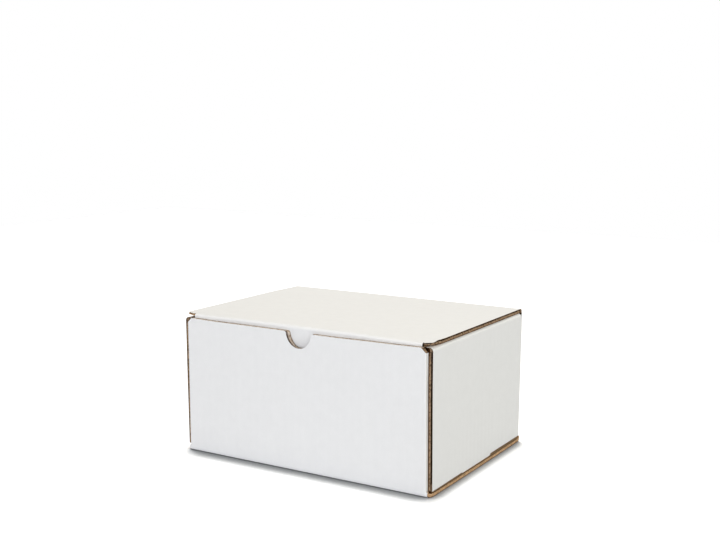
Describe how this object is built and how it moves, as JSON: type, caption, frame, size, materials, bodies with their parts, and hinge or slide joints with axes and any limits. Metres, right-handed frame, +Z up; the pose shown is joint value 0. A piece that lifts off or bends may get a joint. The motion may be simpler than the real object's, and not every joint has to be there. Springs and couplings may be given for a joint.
{
  "type": "corrugated mailer box",
  "caption": "White-faced corrugated mailer box, folded from one die-cut sheet, with rolled double side walls, a thumb notch in the front and a hinged lid whose flap tucks in behind it.",
  "frame": {"origin": "middle of the underside, on the surface that the box stands on", "axes": "+X to the box's right seen from the front, +Y from the front wall to the hinged back wall, +Z up"},
  "size_m": [0.213, 0.156, 0.108],
  "materials": {
    "body_board": "matte white liner with kraft cut edges",
    "lid_board": "matte white liner with kraft cut edges"
  },
  "bodies": {
    "box": {"box_body": "body_board"},
    "lid": {"lid": "lid_board"}
  },
  "joints": [
    {"name": "lid_hinge", "type": "hinge", "parent": "box", "child": "lid", "pos_m": [0, 0.0773, 0.1073], "axis": [-1, 0, 0], "range_deg": [0, 180]}
  ]
}
